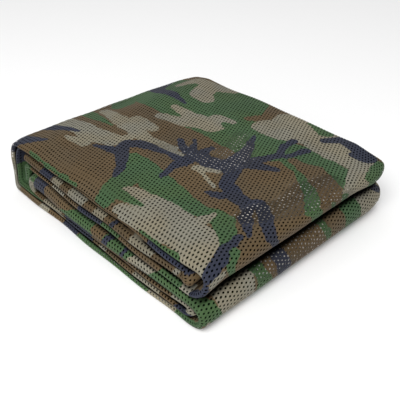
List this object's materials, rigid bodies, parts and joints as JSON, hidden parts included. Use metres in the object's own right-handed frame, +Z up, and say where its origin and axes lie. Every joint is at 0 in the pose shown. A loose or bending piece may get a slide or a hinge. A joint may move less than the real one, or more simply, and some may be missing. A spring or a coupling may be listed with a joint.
{
  "type": "camouflage net, folded",
  "caption": "Perforated woodland-pattern camouflage net, rolled into a soft strip and folded back and forth into a flat rectangular pack.",
  "frame": {"origin": "middle of the flat underside that the pack rests on", "axes": "+X along the long side towards the two round folds, +Y from the layered open side to the rear, +Z up"},
  "size_m": [0.3, 0.261, 0.0585],
  "materials": {
    "net_cloth": "matte printed polyester mesh"
  },
  "bodies": {
    "root": {"net": "net_cloth"}
  },
  "joints": []
}
